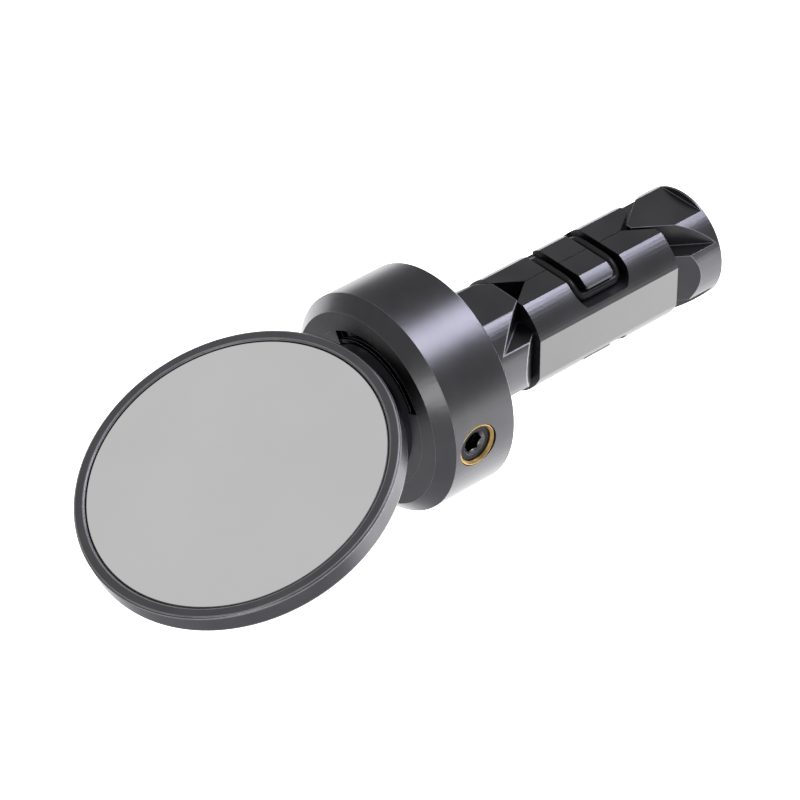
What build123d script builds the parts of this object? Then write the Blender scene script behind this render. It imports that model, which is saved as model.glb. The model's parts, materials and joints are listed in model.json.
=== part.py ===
from build123d import *
import os
from math import cos, radians, sin, sqrt, tan

# Bar-end mirror: round mirror head on a ball joint, collar, and expanding plug.
# Millimetres. Origin: centre of the collar's back face, on the plug's axis.
# +X runs into the handlebar, +Z is up, the blank side flat faces -Y.

# ---- driving sizes -------------------------------------------------------
run_fit = 0.05          # radial clearance where one piece turns or slides in another
snug_fit = 0.02         # radial clearance between pieces that stay put

# plug
plug_r = 8.0
plug_len = 45.0
top_flat = 1.0          # depth of the flats on top and below
side_flat = 0.6         # depth of the flats on the jaws' sides
ramp_deg = 35.0         # half angle of the wedges
tongue_z = 3.65         # half height of the wedges' tongues
jaw_mid = 24.4
jaw_len = 25.1
jaw_gap = 0.1           # split between the two jaws
near_apex = 15.75       # where the near wedge's upper ramps would meet
near_tip = 12.2         # where they are cut off
near_tongue = 4.65      # the tongue's ramps meet this much further on
far_apex = 34.05
far_tip = 34.7
far_tongue = 4.65
jaw_vee_far = 33.1      # root of the jaws' upper notch at the far end
tongue_wall = 0.65      # metal left beside the bore at a tongue's tip
far_collar = 0.5        # full round band at the far end
end_break = 0.2         # small edge break

# retraction ring pocket
pocket_len = 9.6
pocket_corner = 2.05
pocket_wall = 1.0       # metal between the pocket's floor and the bolt bore
island_len = 5.0
island_inset = 2.6      # island's ends below the plug's radius
island_lip = 1.2        # how far the island's lip reaches over the ring
lip_height = 1.65       # lip above the pocket's floor
ring_r = 0.65           # section radius of the rubber ring
ring_side = 0.525       # ring to island along X
ring_hook = 0.1         # ring to island along Y
ring_corner = 1.7

# drive bolt, M5
bolt_r = 2.5
bolt_head_r = 4.25
bolt_head_len = 5.0
bolt_key = 4.0          # hex key across flats
bolt_key_depth = 2.6
bolt_end = 0.7          # bolt's end inside the far wedge's end face
bolt_free = 0.25        # free clearance round the bolt
washer_t = 1.0
washer_r = 4.8
clip_t = 0.6
clip_x = 42.05
clip_r = 3.8
end_recess_r = 4.2
end_recess = 3.5

# collar
collar_r = 15.45
collar_len = 12.02
collar_chamfer = 1.9
collar_floor = 1.6
dowel_r = 1.0
dowel_y = 5.6
dowel_in = 3.4

# ball joint
ball_x = -6.35
ball_r = 10.6
ball_wall = 2.1
ball_skirt = 1.29       # ball's rear edge behind its centre
ball_swing = 0.35       # free clearance round the ball in the collar
socket_len = 2.62
slot_a0 = 57.0          # ends of the spanner recess, degrees from +Y towards +Z
slot_a1 = 155.0
slot_depth = 0.8
slot_lip = 0.58         # lip left between the opening and the recess
slot_lip_drop = 0.2
liner_t = 1.05
liner_skirt = 0.65       # how far the liner reaches behind the ball's centre
seat_foot_r = 6.4
seat_foot = 1.0
seat_bore_r = 5.0
liner_hole_r = 5.2

# clamp screw in the collar's side, M5
bush_r = 3.03
bush_in_r = 2.5
bush_sink = 0.25        # bushing below the collar's surface
bush_deep = 0.65        # bushing's inner end outside the cavity
screw_sink = 0.75       # screw's face below the collar's surface
screw_len = 2.2
screw_key = 2.5
screw_key_depth = 1.5
screw_csk_r = 1.75
pad_r = 2.3
pad_gap = 0.02          # pad to ball

# mirror head
dish_edge_x = -13.6599   # the dish's edge nearest the collar
dish_edge_z = 9.7179
glass_tilt = 66.57      # glass normal above the -X direction
glass_r = 20.2
glass_t = 1.2
glass_bevel = 0.1
glass_gap = 0.15        # round the glass
foam_t = 0.4
foam_inset = 0.7
dish_r = 21.95
dish_lip = 0.2          # rim above the glass
dish_depth = 3.0        # back face below the glass
dish_break = 0.25
arm_r = 4.5
arm_x = -31.0
head_screw_r = 1.0
head_screw_head = 1.9
head_screw_land = 0.2
head_screw_len = 5.0
head_screw_in = (15.95, 8.95)    # screws' distance inside the dish's edge

# ---- derived sizes -------------------------------------------------------
slope = tan(radians(ramp_deg))
ramp_shift = run_fit / sin(radians(ramp_deg))
flat_z = plug_r - top_flat
jaw_side_y = plug_r - side_flat
jaw_x0 = jaw_mid - jaw_len / 2
jaw_x1 = jaw_mid + jaw_len / 2
near_tongue_apex = near_apex + near_tongue
far_tongue_apex = far_apex - far_tongue
jaw_bore_r = bolt_r + bolt_free + 0.15
bolt_hole_r = bolt_r + bolt_free
pocket_z = jaw_bore_r + pocket_wall
pocket_wid = 2 * sqrt(plug_r**2 - pocket_z**2) + 0.25
island_end = plug_r - island_inset
ring_z = pocket_z + run_fit + ring_r
cavity_r = ball_r + ball_swing
ball_in_r = ball_r - ball_wall
liner_r = ball_in_r - run_fit
seat_r = liner_r - liner_t - run_fit
head_x = -collar_floor - seat_foot - washer_t
low = (Align.CENTER, Align.CENTER, Align.MIN)

# places: local Z along +X, local Z out of the side hole, local Z along the glass normal
along_x = Plane.YZ
side_hole = Plane(origin=(ball_x, 0, 0), x_dir=(1, 0, 0), z_dir=(0, -1, 0))
tilt = radians(glass_tilt)
glass_x = dish_edge_x - dish_r * sin(tilt)
glass_z = dish_edge_z - dish_r * cos(tilt)
head_screw_at = [dish_r - inside for inside in head_screw_in]
glass_face = Plane(
    origin=(glass_x, 0, glass_z),
    x_dir=(sin(tilt), 0, cos(tilt)),
    z_dir=(-cos(tilt), 0, sin(tilt)),
)


# ---- small helpers -------------------------------------------------------
def turned(outline):
    """Turn an outline of (radius, height) points about local Z."""
    face = make_face(Polyline(*outline, close=True))
    return revolve(Plane.XZ * face, axis=Axis.Z)


def rod(radius, start, end):
    """Round bar on local Z from start to end."""
    return Pos(0, 0, start) * Cylinder(radius, end - start, align=low)


def tube(outer, inner, start, end):
    """Round tube on local Z."""
    return rod(outer, start, end) - rod(inner, start, end)


def hexagon(across, start, end):
    """Hexagonal bar on local Z."""
    plan = RegularPolygon(across / 2, 6, major_radius=False)
    return Pos(0, 0, start) * extrude(plan, amount=end - start)


def block(x0, x1, y0, y1, z0, z1):
    """Box between opposite corners."""
    middle = Pos((x0 + x1) / 2, (y0 + y1) / 2, (z0 + z1) / 2)
    return middle * Box(x1 - x0, y1 - y0, z1 - z0)


def half_width(apex, x):
    """Half width at x of a wedge whose ramps meet at apex."""
    return abs(x - apex) * slope


def ramped(apex, mouth, tip, half_z):
    """Wedge-shaped prism with its wide end at mouth, cut off at tip."""
    wide = half_width(apex, mouth)
    thin = half_width(apex, tip)
    plan = Polyline((mouth, wide), (tip, thin), (tip, -thin), (mouth, -wide), close=True)
    return extrude(make_face(plan), amount=half_z, both=True)


def slab(z0, z1, length, width, corner, x):
    """Flat plate with rounded corners between two heights."""
    plan = RectangleRounded(length, width, corner)
    return Pos(x, 0, z0) * extrude(plan, amount=z1 - z0)


# ---- mirror head ---------------------------------------------------------
def mirror_housing():
    """Round dish with a raised lip, and holes for the two arm screws."""
    bed = -(glass_t + foam_t)
    inner = glass_r + glass_gap
    dish = turned([
        (0, -dish_depth),
        (dish_r - dish_break, -dish_depth),
        (dish_r, dish_break - dish_depth),
        (dish_r, dish_lip - dish_break),
        (dish_r - dish_break, dish_lip),
        (inner + end_break, dish_lip),
        (inner, dish_lip - end_break),
        (inner, bed),
        (0, bed),
    ])
    for place in head_screw_at:
        dish -= Pos(place, 0, 0) * turned([
            (0, -dish_depth),
            (head_screw_r + run_fit, -dish_depth),
            (head_screw_r + run_fit, bed - head_screw_land - head_screw_head + head_screw_r),
            (head_screw_head + run_fit, bed - head_screw_land),
            (head_screw_head + run_fit, bed),
            (0, bed),
        ])
    return glass_face * dish


def mirror_glass():
    """Round glass with a small ground bevel."""
    return glass_face * turned([
        (0, -glass_t),
        (glass_r, -glass_t),
        (glass_r, -glass_bevel),
        (glass_r - glass_bevel, 0),
        (0, 0),
    ])


def glass_pad():
    """Adhesive foam disc between the glass and the dish."""
    return glass_face * rod(glass_r - foam_inset, -glass_t - foam_t, -glass_t)


def head_screw():
    """Countersunk screw on local Z, its head's face at the dish's bed."""
    top = -(glass_t + foam_t) - head_screw_land
    cone = top - head_screw_head + head_screw_r
    screw = turned([
        (0, top - head_screw_len),
        (head_screw_r, top - head_screw_len),
        (head_screw_r, cone),
        (head_screw_head, top),
        (0, top),
    ])
    return screw - hexagon(1.3, top - 0.6, top)


def arm_screws():
    """The two screws that hold the dish on the arm."""
    screws = [glass_face * Pos(place, 0, 0) * head_screw() for place in head_screw_at]
    return Compound(children=screws)


def ball_arm():
    """Hollow ball with a round arm, flat where the dish sits on it."""
    centre = Pos(ball_x, 0, 0)
    arm = along_x * rod(arm_r, arm_x + arm_r, ball_x)
    arm += Pos(arm_x + arm_r, 0, 0) * Sphere(arm_r)
    body = centre * Sphere(ball_r) + arm
    body -= centre * Sphere(ball_in_r)
    body -= along_x * rod(ball_r + 1, ball_x + ball_skirt, ball_x + ball_r + 1)
    body -= glass_face * rod(dish_r + 0.3, -dish_depth, ball_r)
    for place in head_screw_at:
        tip = -(glass_t + foam_t) - head_screw_land - head_screw_len
        body -= glass_face * Pos(place, 0, 0) * rod(head_screw_r + run_fit, tip - 0.3, 0)
    return body


# ---- collar and ball joint -----------------------------------------------
def collar():
    """Thick ring with a chamfered front, open to the ball at the front."""
    front = -collar_len
    body = along_x * turned([
        (cavity_r, front),
        (collar_r - collar_chamfer, front),
        (collar_r, front + collar_chamfer),
        (collar_r, -end_break),
        (collar_r - end_break, 0),
        (bolt_hole_r, 0),
        (bolt_hole_r, -collar_floor),
        (cavity_r, -collar_floor),
    ])
    step = cavity_r + bush_deep
    body -= side_hole * rod(bush_r + snug_fit, step, collar_r + 1)
    body -= side_hole * rod(pad_r + 0.15, cavity_r - 1, step)
    for side in (-1, 1):
        body -= Pos(0, side * dowel_y, 0) * (along_x * rod(dowel_r + snug_fit, -collar_floor - 1, 1))
    return body


def spanner_slot(start, end):
    """Arc-shaped recess in the socket ring's face, with a thin lip inside it."""
    front = -collar_len
    opening = sqrt((ball_r + run_fit)**2 - (front - ball_x)**2)
    floor = front + slot_depth
    outline = [
        (opening - 0.5, front - 1),
        (cavity_r + 1, front - 1),
        (cavity_r + 1, floor),
        (opening + slot_lip, floor),
        (opening + slot_lip, front + slot_lip_drop),
        (opening - 0.5, front + slot_lip_drop),
    ]
    face = Plane.XZ * make_face(Polyline(*outline, close=True))
    arc = revolve(face, axis=Axis.Z, revolution_arc=end - start)
    return along_x * Rot(0, 0, start) * arc


def socket_ring():
    """Ring that keeps the ball in the collar, with two recesses for a spanner."""
    front = -collar_len
    body = along_x * rod(cavity_r - snug_fit, front, front + socket_len)
    body -= Pos(ball_x, 0, 0) * Sphere(ball_r + run_fit)
    body -= spanner_slot(slot_a0, slot_a1)
    body -= spanner_slot(slot_a0 + 180, slot_a1 + 180)
    return body


def ball_seat():
    """Domed post inside the ball, bored for the bolt's head."""
    foot = -collar_floor - seat_foot
    body = Pos(ball_x, 0, 0) * Sphere(seat_r)
    body &= along_x * rod(seat_r + 1, ball_x - seat_r - 1, foot)
    body += along_x * rod(seat_foot_r, ball_x + liner_skirt + run_fit, -collar_floor)
    body -= along_x * rod(seat_bore_r, ball_x - seat_r - 1, foot)
    body -= along_x * rod(bolt_hole_r, foot, -collar_floor)
    return body


def friction_liner():
    """Plastic cap between the post and the hollow ball."""
    centre = Pos(ball_x, 0, 0)
    body = centre * Sphere(liner_r) - centre * Sphere(liner_r - liner_t)
    body -= along_x * rod(liner_r + 1, ball_x + liner_skirt, ball_x + liner_r + 1)
    body -= along_x * rod(liner_hole_r, ball_x - liner_r - 1, ball_x)
    return body


def screw_bushing():
    """Brass bushing in the collar's side."""
    return side_hole * tube(bush_r, bush_in_r, cavity_r + bush_deep, collar_r - bush_sink)


def clamp_screw():
    """Socket set screw in the bushing."""
    face = collar_r - screw_sink
    body = rod(bush_in_r - run_fit, face - screw_len, face)
    body -= hexagon(screw_key, face - screw_key_depth, face)
    sink = screw_csk_r - screw_key / 2
    body -= turned([
        (0, face - sink),
        (screw_key / 2, face - sink),
        (screw_csk_r, face),
        (0, face),
    ])
    return side_hole * body


def clamp_pad():
    """Plastic tip between the set screw and the ball."""
    back = collar_r - screw_sink - screw_len - run_fit
    return side_hole * rod(pad_r, ball_r + pad_gap, back)


# ---- expanding plug ------------------------------------------------------
def plug_bar(start, end):
    """Length of the plug's round bar with its top and bottom flats."""
    bar = along_x * rod(plug_r, start, end)
    return bar & block(start, end, -plug_r, plug_r, -flat_z, flat_z)


def near_wedge():
    """Wedge fixed to the collar."""
    tongue_tip = near_tongue_apex - (bolt_hole_r + tongue_wall) / slope
    shape = ramped(near_apex, 0, near_tip, plug_r)
    shape += ramped(near_tongue_apex, 0, tongue_tip, tongue_z)
    body = plug_bar(0, plug_len) & shape
    body -= along_x * rod(bolt_hole_r, -1, plug_len)
    for side in (-1, 1):
        body -= Pos(0, side * dowel_y, 0) * (along_x * rod(dowel_r + snug_fit, -1, dowel_in))
    return body


def wedge_dowels():
    """Two pins that stop the wedge turning on the collar."""
    pin = along_x * rod(dowel_r, -collar_floor, dowel_in)
    return Compound(children=[Pos(0, side * dowel_y, 0) * pin for side in (-1, 1)])


def far_wedge():
    """Wedge nut at the far end, with a full round end band."""
    band = plug_len - far_collar
    thread_r = bolt_r + run_fit
    tongue_tip = far_tongue_apex + (thread_r + tongue_wall) / slope
    shape = ramped(far_apex, plug_len, far_tip, plug_r)
    shape += ramped(far_tongue_apex, plug_len, tongue_tip, tongue_z)
    end = along_x * turned([
        (0, band),
        (plug_r, band),
        (plug_r, plug_len - end_break),
        (plug_r - end_break, plug_len),
        (0, plug_len),
    ])
    body = plug_bar(0, band) & shape
    body += end
    body -= along_x * rod(thread_r, 0, plug_len)
    body -= along_x * rod(end_recess_r, plug_len - end_recess, plug_len)
    return body


def ring_pocket():
    """Cutter for the pocket on top that leaves the island standing."""
    lip_z = pocket_z + lip_height
    root = 2 * (island_end - island_lip)
    cut = slab(pocket_z, plug_r + 1, pocket_len, pocket_wid, pocket_corner, jaw_mid)
    cut -= slab(lip_z, plug_r + 2, island_len, 2 * island_end, 0.4, jaw_mid)
    cut -= slab(pocket_z - 1, lip_z, island_len, root, 0.6, jaw_mid)
    return cut


def jaws():
    """Both jaws, before they are parted."""
    flush = jaw_gap / 2 / slope
    deep = tongue_z + run_fit
    near_root = near_apex + ramp_shift
    near_deep = near_tongue_apex + ramp_shift
    far_deep = far_tongue_apex - ramp_shift
    body = plug_bar(jaw_x0, jaw_x1)
    body &= block(jaw_x0, jaw_x1, -jaw_side_y, jaw_side_y, -plug_r, plug_r)
    body -= ramped(near_root, jaw_x0 - 1, near_root - flush, plug_r)
    body -= ramped(near_deep, jaw_x0 - 1, near_deep - flush, deep)
    body -= ramped(jaw_vee_far, jaw_x1 + 1, jaw_vee_far + flush, plug_r)
    body -= ramped(far_deep, jaw_x1 + 1, far_deep + flush, deep)
    body -= along_x * rod(jaw_bore_r, jaw_x0, jaw_x1)
    pocket = ring_pocket()
    body -= pocket
    body -= mirror(pocket, about=Plane.XY)
    return body


def one_jaw(side):
    """The half of the jaws on one side of the split."""
    near = jaw_gap / 2
    y0, y1 = sorted((side * near, side * (plug_r + 1)))
    return jaws() & block(jaw_x0 - 1, jaw_x1 + 1, y0, y1, -plug_r - 1, plug_r + 1)


def o_ring(side):
    """Rubber ring round the island, on top or below."""
    length = island_len + 2 * (ring_side + ring_r)
    width = 2 * (island_end - island_lip + ring_hook + ring_r)
    outline = Pos(jaw_mid, 0, side * ring_z) * RectangleRounded(length, width, ring_corner)
    path = outline.face().outer_wire()
    section = Plane(origin=path @ 0, z_dir=path % 0) * Circle(ring_r)
    return sweep(section, path=path)


# ---- drive bolt ----------------------------------------------------------
def drive_bolt():
    """Socket head bolt through the whole plug, grooved for the end clip."""
    end = plug_len - bolt_end
    groove = clip_r - 1.68
    body = along_x * turned([
        (0, head_x - bolt_head_len),
        (bolt_head_r - end_break, head_x - bolt_head_len),
        (bolt_head_r, head_x - bolt_head_len + end_break),
        (bolt_head_r, head_x),
        (bolt_r, head_x),
        (bolt_r, clip_x - run_fit),
        (groove, clip_x - run_fit),
        (groove, clip_x + clip_t + run_fit),
        (bolt_r, clip_x + clip_t + run_fit),
        (bolt_r, end - end_break),
        (bolt_r - end_break, end),
        (0, end),
    ])
    socket = head_x - bolt_head_len
    return body - along_x * hexagon(bolt_key, socket, socket + bolt_key_depth)


def bolt_washer():
    """Washer under the bolt's head."""
    return along_x * tube(washer_r, bolt_r + run_fit, head_x, head_x + washer_t)


def end_clip():
    """Open clip in the bolt's groove, which keeps the wedge nut on."""
    inner = clip_r - 1.68 + snug_fit
    ring = along_x * tube(clip_r, inner, clip_x, clip_x + clip_t)
    return ring - block(clip_x - 1, clip_x + clip_t + 1, -1.2, 1.2, 0, clip_r + 1)


os.makedirs("parts", exist_ok=True)

NODES = {
    "mirror_housing": mirror_housing(),
    "mirror_glass": mirror_glass(),
    "glass_pad": glass_pad(),
    "arm_screws": arm_screws(),
    "ball_arm": ball_arm(),
    "collar": collar(),
    "socket_ring": socket_ring(),
    "ball_seat": ball_seat(),
    "friction_liner": friction_liner(),
    "screw_bushing": screw_bushing(),
    "clamp_screw": clamp_screw(),
    "clamp_pad": clamp_pad(),
    "near_wedge": near_wedge(),
    "wedge_dowels": wedge_dowels(),
    "left_jaw": one_jaw(1),
    "right_jaw": one_jaw(-1),
    "top_o_ring": o_ring(1),
    "bottom_o_ring": o_ring(-1),
    "far_wedge": far_wedge(),
    "drive_bolt": drive_bolt(),
    "bolt_washer": bolt_washer(),
    "end_clip": end_clip(),
}

for node, shape in NODES.items():
    export_step(shape, f"parts/{node}.step")
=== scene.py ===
"""Looks of a bar-end mirror: a round mirror on a ball joint, its collar and its expanding plug."""

import json
import logging
import math
from dataclasses import dataclass
from enum import Enum, IntEnum

import bmesh
import bpy
from mathutils import Matrix, Vector

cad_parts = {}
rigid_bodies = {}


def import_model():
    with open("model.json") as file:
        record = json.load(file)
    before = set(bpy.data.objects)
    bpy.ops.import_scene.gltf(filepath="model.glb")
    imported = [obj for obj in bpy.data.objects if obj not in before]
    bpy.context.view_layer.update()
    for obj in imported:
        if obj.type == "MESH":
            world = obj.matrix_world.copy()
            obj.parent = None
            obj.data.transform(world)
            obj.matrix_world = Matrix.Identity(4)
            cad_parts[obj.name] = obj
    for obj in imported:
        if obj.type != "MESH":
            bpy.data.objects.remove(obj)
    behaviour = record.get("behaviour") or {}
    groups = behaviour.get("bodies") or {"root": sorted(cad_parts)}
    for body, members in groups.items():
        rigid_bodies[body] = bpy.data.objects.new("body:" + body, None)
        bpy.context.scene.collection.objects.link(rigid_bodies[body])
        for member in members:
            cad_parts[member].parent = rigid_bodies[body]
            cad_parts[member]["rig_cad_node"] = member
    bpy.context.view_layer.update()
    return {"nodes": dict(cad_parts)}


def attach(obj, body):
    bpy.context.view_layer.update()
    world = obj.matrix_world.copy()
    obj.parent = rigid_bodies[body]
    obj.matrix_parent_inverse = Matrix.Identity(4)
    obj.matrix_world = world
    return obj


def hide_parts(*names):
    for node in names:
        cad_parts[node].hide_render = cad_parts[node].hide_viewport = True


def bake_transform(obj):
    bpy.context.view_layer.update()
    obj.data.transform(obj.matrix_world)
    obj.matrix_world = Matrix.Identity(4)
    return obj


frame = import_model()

LOG = logging.getLogger("bar_end_mirror")
MM = 0.001
FULL_TURN = 2 * math.pi
AXIS_SIDE_HOLE = Matrix.Rotation(math.radians(90), 4, "X")

# Faces round a spun piece, and round a small one.
ROUND_STEPS = 160
SMALL_ROUND_STEPS = 96

# Points nearer than this many metres are merged: in a spun shape, a CAD copy and a tube.
SPUN_MERGE = 1e-7
CAD_MERGE = 2e-6
TUBE_MERGE = 1e-6

# Degrees between two faces: below the first they are one flat, above the second their edge stays
# sharp, and above the third a bevel rounds it. The plug's flats meet its round sides at 22 or more.
ONE_FLAT_DEG = 0.6
SHARP_DEG = 12.0
BEVEL_DEG = 14.0

# Noise values at which a finish shows only its dark colour, and only its light one.
CLOUD_DARK = 0.3
CLOUD_LIGHT = 0.7

# Turned rings lie about two relief widths apart: the wave texture has 20 radians to a unit, and
# its scale is divided by this.
WAVE_DIVISOR = 6.28

Point = tuple[float, float, float]
Colour = tuple[float, float, float, float]


def srgb(code: str) -> Colour:
    """Turns an sRGB hex code to a linear colour.

    Args:
        code: Six hex digits after a hash sign.

    Returns:
        Red, green, blue and an alpha of one.
    """
    parts = [int(code[i : i + 2], 16) / 255 for i in (1, 3, 5)]
    linear = [c / 12.92 if c <= 0.04045 else ((c + 0.055) / 1.055) ** 2.4 for c in parts]
    return (*linear, 1.0)


def add(
    tree: bpy.types.NodeTree, kind: str, links: dict | None = None, **settings
) -> bpy.types.Node:
    """Adds one node to a tree.

    Args:
        tree: The node tree.
        kind: The node's type name.
        links: Input name or number to the output socket that feeds it.
        settings: Values by input name, with spaces as underscores, or by property name.

    Returns:
        The new node.
    """
    node = tree.nodes.new(kind)
    for key, value in settings.items():
        name = key.replace("_", " ")
        if name in node.inputs and not hasattr(node, key):
            node.inputs[name].default_value = value
        else:
            setattr(node, key, value)
    for key, socket in (links or {}).items():
        tree.links.new(socket, node.inputs[key])
    return node


class Pattern(Enum):
    """How a surface's fine relief runs."""

    GRAIN = "grain"
    TURNED = "turned"
    SMOOTH = "smooth"


class Slot(IntEnum):
    """Material slots of a new piece, in the order that its finishes are given.

    EDGE is for broken edges, whose finish on the anodised pieces is a painted highlight, and ACCENT
    for chosen faces, such as the painted shade in the socket ring's recess. KEEP leaves a bevel's
    faces in their neighbours' slot.
    """

    KEEP = -1
    BODY = 0
    EDGE = 1
    ACCENT = 2


@dataclass(frozen=True)
class Finish:
    """A real material with the way its surface was made.

    Sizes are in millimetres. The two colours are the dark and light ends of its variation, and
    the two roughnesses go with them.
    """

    name: str
    colours: tuple[str, str]
    metallic: float
    roughness: tuple[float, float]
    cloud_mm: float
    relief_mm: float = 0.1
    relief_height_mm: float = 0.006
    relief_strength: float = 0.3
    pattern: Pattern = Pattern.GRAIN
    ior: float = 1.5

    def material(self) -> bpy.types.Material:
        """Builds the node material, unless it is already built.

        Returns:
            The material.
        """
        found = bpy.data.materials.get(self.name)
        if found:
            return found
        made = bpy.data.materials.new(self.name)
        made.use_nodes = True
        tree = made.node_tree
        tree.nodes.clear()
        place = add(tree, "ShaderNodeTexCoord").outputs["Object"]
        cloud = add(
            tree,
            "ShaderNodeTexNoise",
            {"Vector": place},
            Scale=1 / (self.cloud_mm * MM),
            Detail=4.0,
        )
        tint = add(tree, "ShaderNodeValToRGB", {"Fac": cloud.outputs["Fac"]})
        stops = zip(tint.color_ramp.elements, (CLOUD_DARK, CLOUD_LIGHT), self.colours)
        for stop, position, code in stops:
            stop.position = position
            stop.color = srgb(code)
        rough = add(
            tree,
            "ShaderNodeMapRange",
            {"Value": cloud.outputs["Fac"]},
            To_Min=self.roughness[0],
            To_Max=self.roughness[1],
        )
        shader = add(
            tree,
            "ShaderNodeBsdfPrincipled",
            {"Base Color": tint.outputs["Color"], "Roughness": rough.outputs["Result"]},
            Metallic=self.metallic,
            IOR=self.ior,
        )
        if self.pattern is not Pattern.SMOOTH:
            bump = add(
                tree,
                "ShaderNodeBump",
                {"Height": self.relief(tree, place)},
                Strength=self.relief_strength,
                Distance=self.relief_height_mm * MM,
            )
            tree.links.new(bump.outputs["Normal"], shader.inputs["Normal"])
        out = add(tree, "ShaderNodeOutputMaterial")
        tree.links.new(shader.outputs["BSDF"], out.inputs["Surface"])
        return made

    def relief(self, tree: bpy.types.NodeTree, place: bpy.types.NodeSocket) -> bpy.types.NodeSocket:
        """Adds the height pattern.

        Args:
            tree: The material's node tree.
            place: The coordinate socket.

        Returns:
            The height socket.
        """
        scale = 1 / (self.relief_mm * MM)
        if self.pattern is Pattern.TURNED:
            rings = add(
                tree,
                "ShaderNodeTexWave",
                {"Vector": place},
                wave_type="BANDS",
                bands_direction="Y",
                Scale=scale / WAVE_DIVISOR,
                Distortion=0.6,
                Detail=2.0,
            )
            return rings.outputs["Fac"]
        grain = add(
            tree,
            "ShaderNodeTexNoise",
            {"Vector": place},
            Scale=scale,
            Detail=3.0,
            Roughness=0.6,
        )
        return grain.outputs["Fac"]


# Machined 6061, bead blasted then dyed black: dark, metallic and softly matte.
BLASTED = Finish(
    "aluminium_bead_blasted_black_anodised",
    colours=("#636365", "#6E6E70"),
    metallic=1.0,
    roughness=(0.30, 0.36),
    cloud_mm=6.0,
    relief_mm=0.12,
    relief_height_mm=0.012,
)
# The anodised edges in a lighter grey: a painted highlight for the glint on the small bevels.
BLASTED_EDGE_HIGHLIGHT = Finish(
    "aluminium_edge_painted_highlight",
    colours=("#A8A8AA", "#BCBCBE"),
    metallic=1.0,
    roughness=(0.5, 0.6),
    cloud_mm=2.0,
    relief_mm=0.12,
    relief_height_mm=0.004,
)
# The flat that was skimmed after the dye: bare and light, with a very fine grain.
BARE_FLAT = Finish(
    "aluminium_skimmed_bare",
    colours=("#8E8E8D", "#959594"),
    metallic=1.0,
    roughness=(0.42, 0.5),
    cloud_mm=5.0,
)
# Aluminium polished before the dye: near black with a clear highlight. The same near black also
# paints the shade in the socket ring's recess.
POLISHED_AND_SHADE = Finish(
    "black_polished_and_painted_shade",
    colours=("#2E2E32", "#36363A"),
    metallic=1.0,
    roughness=(0.14, 0.2),
    cloud_mm=8.0,
    relief_mm=0.4,
    relief_height_mm=0.002,
    relief_strength=0.1,
)
# Silvered float glass: a clean mirror, with the faintest haze from wiping.
MIRROR = Finish(
    "glass_float_silvered",
    colours=("#E7E7E7", "#EBEBEB"),
    metallic=1.0,
    roughness=(0.015, 0.03),
    cloud_mm=18.0,
    pattern=Pattern.SMOOTH,
)
# The glass disc's ground edge: grey, frosted.
GROUND_GLASS = Finish(
    "glass_ground_edge",
    colours=("#6E7472", "#858B88"),
    metallic=0.0,
    roughness=(0.4, 0.5),
    cloud_mm=1.0,
    relief_mm=0.06,
    relief_height_mm=0.01,
    ior=1.52,
)
# Free-cutting brass, turned: fine rings and a warm shine.
BRASS = Finish(
    "brass_turned",
    colours=("#D2AE6C", "#E4C486"),
    metallic=1.0,
    roughness=(0.34, 0.44),
    cloud_mm=1.2,
    relief_mm=0.12,
    relief_height_mm=0.01,
    pattern=Pattern.TURNED,
)
# Alloy steel with a black oxide: oily black.
OXIDE = Finish(
    "steel_black_oxide",
    colours=("#2B2B2E", "#37373B"),
    metallic=1.0,
    roughness=(0.3, 0.4),
    cloud_mm=1.5,
)
# Light grey on the cone round the hex socket: a painted highlight for the glint on its chamfer.
STEEL_PAINTED_HIGHLIGHT = Finish(
    "steel_painted_highlight",
    colours=("#808082", "#A0A0A2"),
    metallic=1.0,
    roughness=(0.25, 0.35),
    cloud_mm=0.8,
)
# Stainless steel, turned: grey with fine rings.
STAINLESS = Finish(
    "steel_stainless_turned",
    colours=("#A9A9A6", "#BFBFBC"),
    metallic=1.0,
    roughness=(0.22, 0.32),
    cloud_mm=1.5,
    relief_mm=0.15,
    pattern=Pattern.TURNED,
)
# Nitrile rubber, moulded: soft black with a faint oil sheen.
RUBBER = Finish(
    "rubber_nitrile_moulded",
    colours=("#0C0C0D", "#131314"),
    metallic=0.0,
    roughness=(0.36, 0.44),
    cloud_mm=1.5,
    relief_height_mm=0.008,
)
# Natural acetal, machined: waxy white with tool rings.
ACETAL = Finish(
    "acetal_machined",
    colours=("#D8D3C4", "#E4DFD2"),
    metallic=0.0,
    roughness=(0.38, 0.48),
    cloud_mm=3.0,
    relief_mm=0.2,
    relief_height_mm=0.01,
    pattern=Pattern.TURNED,
)
# Black acetal, machined: waxy and even.
BLACK_ACETAL = Finish(
    "acetal_black_machined",
    colours=("#161616", "#202020"),
    metallic=0.0,
    roughness=(0.38, 0.48),
    cloud_mm=3.0,
    relief_mm=0.2,
    relief_height_mm=0.01,
)
# Closed-cell foam tape: dull black with cut bubbles on its edge.
FOAM = Finish(
    "foam_closed_cell_tape",
    colours=("#1A1A1A", "#262626"),
    metallic=0.0,
    roughness=(0.8, 0.9),
    cloud_mm=0.5,
    relief_mm=0.12,
    relief_height_mm=0.05,
)


def dress(obj: bpy.types.Object, *finishes: Finish) -> None:
    """Puts finishes on an object's material slots, in the order of Slot.

    Args:
        obj: A new piece, or a CAD node, which takes only the first finish.
        finishes: One finish for each slot.
    """
    if "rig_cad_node" in obj:
        for slot in obj.material_slots:
            slot.material = finishes[0].material()
        LOG.info("%s keeps its shape, in %s", obj.name, finishes[0].name)
        return
    for finish in finishes:
        obj.data.materials.append(finish.material())


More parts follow.
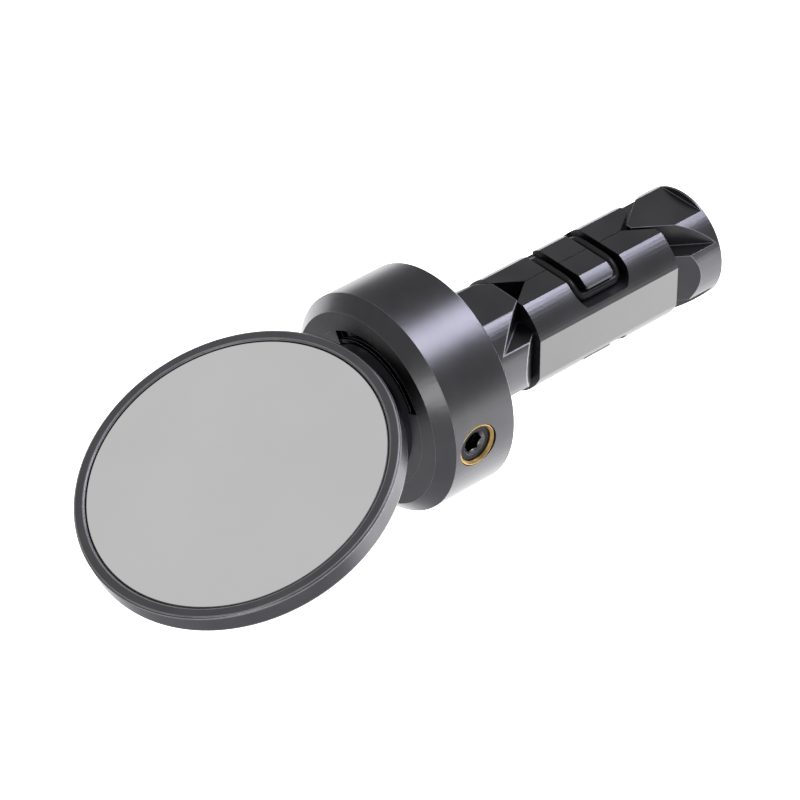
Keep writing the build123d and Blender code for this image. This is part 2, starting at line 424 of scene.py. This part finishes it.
def new_piece(
    name: str, shape: bmesh.types.BMesh, sharp_deg: float = SHARP_DEG
) -> bpy.types.Object:
    """Makes an object from a finished bmesh, smooth but for its sharp edges.

    Args:
        name: The piece's name.
        shape: The bmesh, in metres in the row frame. It is freed.
        sharp_deg: Angle above which an edge stays sharp.

    Returns:
        The object, at the origin.
    """
    mesh = bpy.data.meshes.new(name)
    shape.to_mesh(mesh)
    shape.free()
    for face in mesh.polygons:
        face.use_smooth = True
    mesh.set_sharp_from_angle(angle=math.radians(sharp_deg))
    obj = bpy.data.objects.new(name, mesh)
    bpy.context.scene.collection.objects.link(obj)
    return obj


def soften(
    obj: bpy.types.Object, width_mm: float, segments: int = 2, edge_slot: Slot = Slot.KEEP
) -> None:
    """Rounds a piece's sharp edges with a Bevel modifier.

    Args:
        obj: The piece.
        width_mm: The rounding's width.
        segments: How many faces across it.
        edge_slot: The material slot for the new faces.
    """
    bevel = obj.modifiers.new("broken edges", "BEVEL")
    bevel.width = width_mm * MM
    bevel.segments = segments
    bevel.limit_method = "ANGLE"
    bevel.angle_limit = math.radians(BEVEL_DEG)
    bevel.harden_normals = True
    bevel.use_clamp_overlap = True
    bevel.material = edge_slot


def spun(
    outline: list[tuple[float, float]], place: Matrix, steps: int = ROUND_STEPS
) -> bmesh.types.BMesh:
    """Spins an outline about local Z and moves it to its place.

    Args:
        outline: (radius, height) points in millimetres, a closed loop or one that ends on the axis.
        place: Matrix from the local frame to the row frame, in metres.
        steps: Faces round the full turn.

    Returns:
        A closed bmesh.
    """
    shape = bmesh.new()
    points = [shape.verts.new((r * MM, 0, h * MM)) for r, h in outline]
    pairs = list(zip(points, points[1:]))
    if outline[0][0] > 0 or outline[-1][0] > 0:
        pairs.append((points[-1], points[0]))
    edges = [shape.edges.new(pair) for pair in pairs]
    bmesh.ops.spin(
        shape,
        geom=points + edges,
        cent=(0, 0, 0),
        axis=(0, 0, 1),
        angle=FULL_TURN,
        steps=steps,
        use_merge=True,
        use_duplicate=False,
    )
    bmesh.ops.remove_doubles(shape, verts=shape.verts, dist=SPUN_MERGE)
    bmesh.ops.recalc_face_normals(shape, faces=shape.faces)
    bmesh.ops.transform(shape, matrix=place, verts=shape.verts)
    return shape


def cad_copy(node: str, name: str) -> bpy.types.Object:
    """Copies a CAD node as a merged, clean mesh that can take a bevel.

    Args:
        node: The CAD node's name.
        name: The new piece's name.

    Returns:
        The new piece.
    """
    shape = bmesh.new()
    shape.from_mesh(frame["nodes"][node].data)
    bmesh.ops.remove_doubles(shape, verts=shape.verts, dist=CAD_MERGE)
    bmesh.ops.dissolve_limit(
        shape,
        angle_limit=math.radians(ONE_FLAT_DEG),
        verts=shape.verts,
        edges=shape.edges,
    )
    return new_piece(name, shape)


def finish_piece(obj: bpy.types.Object, body: str, slot: str, *nodes: str) -> None:
    """Rides a piece on its body and hides the CAD nodes that it replaces.

    Args:
        obj: The finished piece.
        body: The CAD body it rides on.
        slot: The record's material slot; not used.
        nodes: The CAD nodes that it replaces.
    """
    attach(obj, body)
    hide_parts(*nodes)
    LOG.info("%s rides on %s", obj.name, body)


@dataclass
class MirrorHead:
    """The dish, its glass, the foam between them, the arm and its screws. Sizes in millimetres."""

    centre: Point = (-33.80, 0.0, 0.99)
    normal_deg: float = 66.57
    dish_r: float = 21.95
    depth: float = 3.0
    back_round: float = 0.35
    back_corner: float = 0.1
    lip: float = 0.2
    lip_outer_break: float = 0.25
    lip_inner_break: float = 0.2
    bed: float = 1.6
    dish_sharp_deg: float = 24.0
    dish_edge: float = 0.11
    glass_r: float = 20.2
    glass_gap: float = 0.15
    glass_t: float = 1.2
    glass_bevel: float = 0.1
    glass_back_break: float = 0.05
    glass_sharp_deg: float = 20.0
    glass_facing: float = 0.99

    def place(self) -> Matrix:
        """Finds where the glass is.

        Returns:
            Matrix from the glass's own frame, Z along its normal, to the row frame.
        """
        tilt = math.radians(90 - self.normal_deg)
        turn = Matrix.Rotation(-tilt, 4, "Y")
        return Matrix.Translation(Vector(self.centre) * MM) @ turn

    def housing(self) -> bpy.types.Object:
        """Spins the dish, with an eased back edge and a thin front lip.

        Returns:
            The dressed dish.
        """
        inner = self.glass_r + self.glass_gap
        shape = spun(
            [
                (0, -self.depth),
                (self.dish_r - self.back_round, -self.depth),
                (self.dish_r - self.back_corner, -self.depth + self.back_corner),
                (self.dish_r, -self.depth + self.back_round),
                (self.dish_r, self.lip - self.lip_outer_break),
                (self.dish_r - self.lip_outer_break, self.lip),
                (inner + self.lip_inner_break, self.lip),
                (inner, self.lip - self.lip_inner_break),
                (inner, -self.bed),
                (0, -self.bed),
            ],
            self.place(),
        )
        obj = new_piece("mirror_dish", shape, self.dish_sharp_deg)
        soften(obj, self.dish_edge, edge_slot=Slot.EDGE)
        # The bevels' lighter grey is a painted highlight.
        dress(obj, BLASTED, BLASTED_EDGE_HIGHLIGHT)
        return obj

    def glass(self) -> bpy.types.Object:
        """Spins the silvered disc with its ground bevel.

        Returns:
            The dressed disc.
        """
        shape = spun(
            [
                (0, -self.glass_t),
                (self.glass_r - self.glass_back_break, -self.glass_t),
                (self.glass_r, -self.glass_t + self.glass_back_break),
                (self.glass_r, -self.glass_bevel),
                (self.glass_r - self.glass_bevel, 0),
                (0, 0),
            ],
            self.place(),
        )
        outwards = self.place().to_3x3() @ Vector((0, 0, 1))
        shape.normal_update()
        for face in shape.faces:
            silvered = face.normal.dot(outwards) > self.glass_facing
            face.material_index = Slot.BODY if silvered else Slot.EDGE
        obj = new_piece("mirror_glass_disc", shape, self.glass_sharp_deg)
        dress(obj, MIRROR, GROUND_GLASS)
        return obj

    def build(self) -> None:
        """Builds and dresses the whole head."""
        finish_piece(self.housing(), "mirror_head", "anodised_aluminium", "mirror_housing")
        finish_piece(self.glass(), "mirror_head", "mirror_silver", "mirror_glass")
        dress(frame["nodes"]["glass_pad"], FOAM)
        dress(frame["nodes"]["arm_screws"], OXIDE)
        dress(frame["nodes"]["ball_arm"], POLISHED_AND_SHADE)


@dataclass
class CollarAndJoint:
    """The collar, the ring that holds the ball in, the seat and the liner. Sizes in millimetres."""

    collar_edge: float = 0.14
    collar_edge_faces: int = 3
    ring_edge: float = 0.05
    front_x: float = -12.02
    painted_shade_depth: float = 0.1

    def build(self) -> None:
        """Builds and dresses the collar and what it holds."""
        collar = cad_copy("collar", "collar_body")
        soften(collar, self.collar_edge, self.collar_edge_faces, Slot.EDGE)
        # The bevels' lighter grey is a painted highlight.
        dress(collar, BLASTED, BLASTED_EDGE_HIGHLIGHT)
        finish_piece(collar, "base", "anodised_aluminium", "collar")
        ring = cad_copy("socket_ring", "socket_ring_body")
        # Faces behind the front face go near black: painted shade in the recess round the ball.
        for face in ring.data.polygons:
            if face.center.x > (self.front_x + self.painted_shade_depth) * MM:
                face.material_index = Slot.ACCENT
        soften(ring, self.ring_edge, edge_slot=Slot.EDGE)
        dress(ring, BLASTED, BLASTED_EDGE_HIGHLIGHT, POLISHED_AND_SHADE)
        finish_piece(ring, "base", "anodised_aluminium", "socket_ring")
        dress(frame["nodes"]["ball_seat"], BLASTED)
        dress(frame["nodes"]["friction_liner"], BLACK_ACETAL)


@dataclass
class ClampScrew:
    """The brass bushing, the set screw in it and the plastic tip. Sizes in millimetres."""

    hole_x: float = -6.35
    bush_r: float = 3.03
    bush_in_r: float = 2.5
    bush_top: float = 15.2
    bush_bottom: float = 11.6
    bush_break: float = 0.12
    bush_mouth: float = 0.3
    bush_sharp_deg: float = 24.0
    bush_edge: float = 0.03
    socket_r: float = 1.9
    cone_facing: tuple[float, float] = (0.4, 0.95)
    screw_edge: float = 0.05

    def place(self) -> Matrix:
        """Matrix from the hole's own frame, Z outwards, to the row frame."""
        return Matrix.Translation((self.hole_x * MM, 0, 0)) @ AXIS_SIDE_HOLE

    def bushing(self) -> bpy.types.Object:
        """Spins the bushing, with an eased outer edge and a countersunk mouth.

        Returns:
            The dressed bushing.
        """
        shape = spun(
            [
                (self.bush_r - self.bush_break, self.bush_top),
                (self.bush_r, self.bush_top - self.bush_break),
                (self.bush_r, self.bush_bottom),
                (self.bush_in_r, self.bush_bottom),
                (self.bush_in_r, self.bush_top - self.bush_mouth),
                (self.bush_in_r + self.bush_mouth, self.bush_top),
            ],
            self.place(),
            SMALL_ROUND_STEPS,
        )
        obj = new_piece("brass_bushing", shape, self.bush_sharp_deg)
        soften(obj, self.bush_edge)
        dress(obj, BRASS)
        return obj

    def screw(self) -> bpy.types.Object:
        """Makes the set screw, with the cone round its hex socket painted light as a highlight.

        Returns:
            The dressed screw.
        """
        obj = cad_copy("clamp_screw", "socket_set_screw")
        axis = Vector((0, -1, 0))
        least, most = self.cone_facing
        for face in obj.data.polygons:
            middle = face.center - Vector((self.hole_x * MM, 0, 0))
            radius = (middle - axis * middle.dot(axis)).length
            # The socket's cone faces take the painted highlight.
            if least < face.normal.dot(axis) < most and radius < self.socket_r * MM:
                face.material_index = Slot.EDGE
        soften(obj, self.screw_edge)
        dress(obj, OXIDE, STEEL_PAINTED_HIGHLIGHT)
        return obj

    def build(self) -> None:
        """Builds and dresses the bushing, the screw and its tip."""
        finish_piece(self.bushing(), "base", "turned_brass", "screw_bushing")
        finish_piece(self.screw(), "set_screw", "black_oxide_steel", "clamp_screw")
        dress(frame["nodes"]["clamp_pad"], ACETAL)


@dataclass
class Plug:
    """The wedges, jaws, rubber rings, bolt and clip. Sizes in millimetres.

    ring_quarter has the control points of a quarter of a rubber ring: from the middle of its run
    over the plug, off the island's corner and down to the middle of the island's end.
    """

    machined_edge: float = 0.15
    bolt_edge: float = 0.06
    clip_edge: float = 0.05
    side_flat_y: float = 7.3
    flat_facing: float = 0.999
    jaw_mid: float = 24.4
    ring_quarter: tuple[Point, ...] = (
        (3.675, 0.0, 6.15),
        (3.675, 1.6, 6.15),
        (3.675, 3.2, 6.12),
        (3.675, 4.0, 5.45),
        (3.575, 4.6, 4.8),
        (3.075, 4.87, 4.45),
        (2.075, 4.87, 4.45),
        (0.0, 4.87, 4.45),
    )
    ring_r: float = 0.64
    ring_order: int = 4
    ring_span_faces: int = 10
    ring_round_faces: int = 6
    ring_sharp_deg: float = 60.0
    bend_y: float = 3.4

    def machined(self) -> None:
        """Makes the anodised pieces: both wedges and both jaws."""
        bodies = {
            "near_wedge": "base",
            "far_wedge": "wedge_nut",
            "left_jaw": "jaw_left",
            "right_jaw": "jaw_right",
        }
        for node, body in bodies.items():
            obj = cad_copy(node, node + "_body")
            if node == "right_jaw":
                self.skim(obj)
            soften(obj, self.machined_edge, edge_slot=Slot.EDGE)
            # The bevels' lighter grey is a painted highlight.
            dress(obj, BLASTED, BLASTED_EDGE_HIGHLIGHT, BARE_FLAT)
            finish_piece(obj, body, "anodised_aluminium", node)

    def skim(self, jaw: bpy.types.Object) -> None:
        """Gives the jaw's blank side flat its own slot.

        Args:
            jaw: The right jaw's copy.
        """
        for face in jaw.data.polygons:
            if face.normal.y < -self.flat_facing and face.center.y < -self.side_flat_y * MM:
                face.material_index = Slot.ACCENT

    def half_ring_path(self, side: int, level: int) -> list[Point]:
        """Finds half a rubber ring's control points, from one run round the island to the other.

        Args:
            side: 1 for the half round the +Y end, -1 for the other.
            level: 1 for the ring on top, -1 for the one below.

        Returns:
            Points in millimetres.
        """
        near = list(self.ring_quarter)
        far = [(-x, y, z) for x, y, z in reversed(near[:-1])]
        return [(self.jaw_mid + x, side * y, level * z) for x, y, z in near + far]

    def tube(self, name: str, points: list[Point]) -> bmesh.types.BMesh:
        """Runs the rubber's round section along a smooth line.

        Args:
            name: A name for the curve, which is removed again.
            points: The line's control points in millimetres.

        Returns:
            A closed bmesh.
        """
        curve = bpy.data.curves.new(name, "CURVE")
        curve.dimensions = "3D"
        curve.resolution_u = self.ring_span_faces
        curve.bevel_depth = self.ring_r * MM
        curve.bevel_resolution = self.ring_round_faces
        curve.use_fill_caps = True
        line = curve.splines.new("NURBS")
        line.points.add(len(points) - 1)
        for point, place in zip(line.points, points):
            point.co = (*(c * MM for c in place), 1)
        line.order_u = self.ring_order
        line.use_endpoint_u = True
        guide = bpy.data.objects.new(name + "_guide", curve)
        mesh = bpy.data.meshes.new_from_object(guide)
        shape = bmesh.new()
        shape.from_mesh(mesh)
        bmesh.ops.remove_doubles(shape, verts=shape.verts, dist=TUBE_MERGE)
        bmesh.ops.recalc_face_normals(shape, faces=shape.faces)
        bpy.data.objects.remove(guide)
        bpy.data.meshes.remove(mesh)
        return shape

    def half_ring(self, side: int, level: int) -> None:
        """Makes half a rubber ring, from one run round the island's end to the other.

        Args:
            side: 1 for the +Y half, -1 for the other.
            level: 1 for the ring on top, -1 for the one below.
        """
        where = "top" if level > 0 else "bottom"
        which = "left" if side > 0 else "right"
        name = f"{where}_ring_{which}_half"
        shape = self.tube(name, self.half_ring_path(side, level))
        obj = new_piece(name, shape, self.ring_sharp_deg)
        dress(obj, RUBBER)
        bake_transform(obj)
        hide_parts(where + "_o_ring")
        LOG.info("%s bends with its jaw", name)

    def build(self) -> None:
        """Builds and dresses the whole plug."""
        self.machined()
        for level in (1, -1):
            for side in (1, -1):
                self.half_ring(side, level)
        bolt = cad_copy("drive_bolt", "drive_bolt_body")
        soften(bolt, self.bolt_edge)
        dress(bolt, OXIDE)
        finish_piece(bolt, "bolt", "black_oxide_steel", "drive_bolt")
        clip = cad_copy("end_clip", "end_clip_ring")
        soften(clip, self.clip_edge)
        dress(clip, STAINLESS)
        finish_piece(clip, "bolt", "stainless_steel", "end_clip")
        for node in ("wedge_dowels", "bolt_washer"):
            dress(frame["nodes"][node], STAINLESS)


@dataclass(frozen=True)
class Card:
    """A soft rectangular light that faces the object.

    Towards is the direction from the object to the light. Far and the size are in metres, and the
    power is in watts.
    """

    name: str
    towards: Point
    far: float
    size: tuple[float, float]
    power: float
    colour: str = "#FFFFFF"

    def hang(self) -> None:
        """Adds the light to the scene."""
        data = bpy.data.lights.new(self.name, "AREA")
        data.shape = "RECTANGLE"
        data.size, data.size_y = self.size
        data.energy = self.power
        data.color = srgb(self.colour)[:3]
        obj = bpy.data.objects.new(self.name, data)
        bpy.context.scene.collection.objects.link(obj)
        direction = Vector(self.towards).normalized()
        obj.location = direction * self.far
        obj.rotation_euler = direction.to_track_quat("Z", "Y").to_euler()


# A cool strip behind and above, for the long highlights on the collar and the plug.
KEY_STRIP = Card("key_strip", (0.54, -0.20, 0.82), 0.9, (0.5, 0.16), 2.9, "#ECEBFF")
# What the glass reflects: an even grey from edge to edge.
MIRROR_CARD = Card("mirror_card", (-0.06, 0.61, 0.79), 1.2, (0.6, 0.6), 0.395)
# A small one in front, for the dish's band and the collar's chamfer.
FRONT_CARD = Card("front_card", (-0.85, -0.52, 0.2), 0.9, (0.3, 0.14), 0.8)


@dataclass
class Studio:
    """The pale floor, the soft lights and the camera. Distances in metres.

    The floor glows like a light table. Along glow_way its strength goes from glow_dim at
    glow_from, on the mirror's side, to glow at glow_to.
    """

    floor_z: float = -0.25
    floor_side: float = 8.0
    floor_colour: str = "#F4F4F4"
    floor_roughness: float = 0.9
    glow: float = 1.85
    glow_dim: float = 0.12
    glow_way: Point = (0.9, 0.43, 0.0)
    glow_from: float = 0.02
    glow_to: float = 0.11
    horizon: Colour = (0.34, 0.34, 0.35, 1)
    overhead: Colour = (0.27, 0.27, 0.275, 1)
    overhead_from: float = 0.5
    eye: Point = (-0.2916, -0.3247, 0.3310)
    look_at: Point = (0.000564, 0.007619, -0.009451)
    lens_mm: float = 188.48
    sensor_mm: float = 36.0
    nearest: float = 0.01
    farthest: float = 50.0

    def floor(self) -> None:
        """Lays a plain pale floor like a light table, dimmer on the mirror's side."""
        shape = bmesh.new()
        bmesh.ops.create_grid(shape, x_segments=2, y_segments=2, size=self.floor_side / 2)
        bmesh.ops.translate(shape, verts=shape.verts, vec=(0, 0, self.floor_z))
        obj = new_piece("studio_floor", shape)
        paint = bpy.data.materials.new("paper_white_sweep")
        paint.use_nodes = True
        tree = paint.node_tree
        shader = tree.nodes["Principled BSDF"]
        shader.inputs["Base Color"].default_value = srgb(self.floor_colour)
        shader.inputs["Roughness"].default_value = self.floor_roughness
        shader.inputs["Emission Color"].default_value = srgb("#FFFFFF")
        place = add(tree, "ShaderNodeTexCoord").outputs["Object"]
        along = add(tree, "ShaderNodeVectorMath", {0: place}, operation="DOT_PRODUCT")
        along.inputs[1].default_value = self.glow_way
        glow = add(
            tree,
            "ShaderNodeMapRange",
            {"Value": along.outputs["Value"]},
            From_Min=self.glow_from,
            From_Max=self.glow_to,
            To_Min=self.glow_dim,
            To_Max=self.glow,
        )
        tree.links.new(glow.outputs["Result"], shader.inputs["Emission Strength"])
        obj.data.materials.append(paint)

    def sky(self) -> None:
        """Sets a dim surround, a little darker overhead."""
        world = bpy.data.worlds.new("studio_surround")
        bpy.context.scene.world = world
        world.use_nodes = True
        tree = world.node_tree
        tree.nodes.clear()
        way = add(tree, "ShaderNodeTexCoord").outputs["Generated"]
        height = add(tree, "ShaderNodeSeparateXYZ", {"Vector": way}).outputs["Z"]
        ramp = add(tree, "ShaderNodeValToRGB", {"Fac": height})
        low, high = ramp.color_ramp.elements
        low.position, low.color = 0.0, self.horizon
        high.position, high.color = self.overhead_from, self.overhead
        back = add(tree, "ShaderNodeBackground", {"Color": ramp.outputs["Color"]}, Strength=1.0)
        out = add(tree, "ShaderNodeOutputWorld")
        tree.links.new(back.outputs["Background"], out.inputs["Surface"])

    def camera(self) -> None:
        """Places a long lens in front of the mirror, above it."""
        data = bpy.data.cameras.new("camera")
        data.lens = self.lens_mm
        data.sensor_width = self.sensor_mm
        data.clip_start, data.clip_end = self.nearest, self.farthest
        obj = bpy.data.objects.new("camera", data)
        bpy.context.scene.collection.objects.link(obj)
        eye = Vector(self.eye)
        obj.location = eye
        obj.rotation_mode = "QUATERNION"
        obj.rotation_quaternion = (Vector(self.look_at) - eye).to_track_quat("-Z", "Y")
        bpy.context.scene.camera = obj

    def build(self) -> None:
        """Sets the whole studio up."""
        self.floor()
        self.sky()
        for card in (KEY_STRIP, MIRROR_CARD, FRONT_CARD):
            card.hang()
        bpy.context.scene.view_settings.view_transform = "Standard"
        self.camera()


def main() -> None:
    """Builds every sub-assembly in order, then the studio."""
    logging.basicConfig(level=logging.INFO, format="%(name)s: %(message)s")
    MirrorHead().build()
    CollarAndJoint().build()
    ClampScrew().build()
    Plug().build()
    Studio().build()


if __name__ == "__main__":
    main()
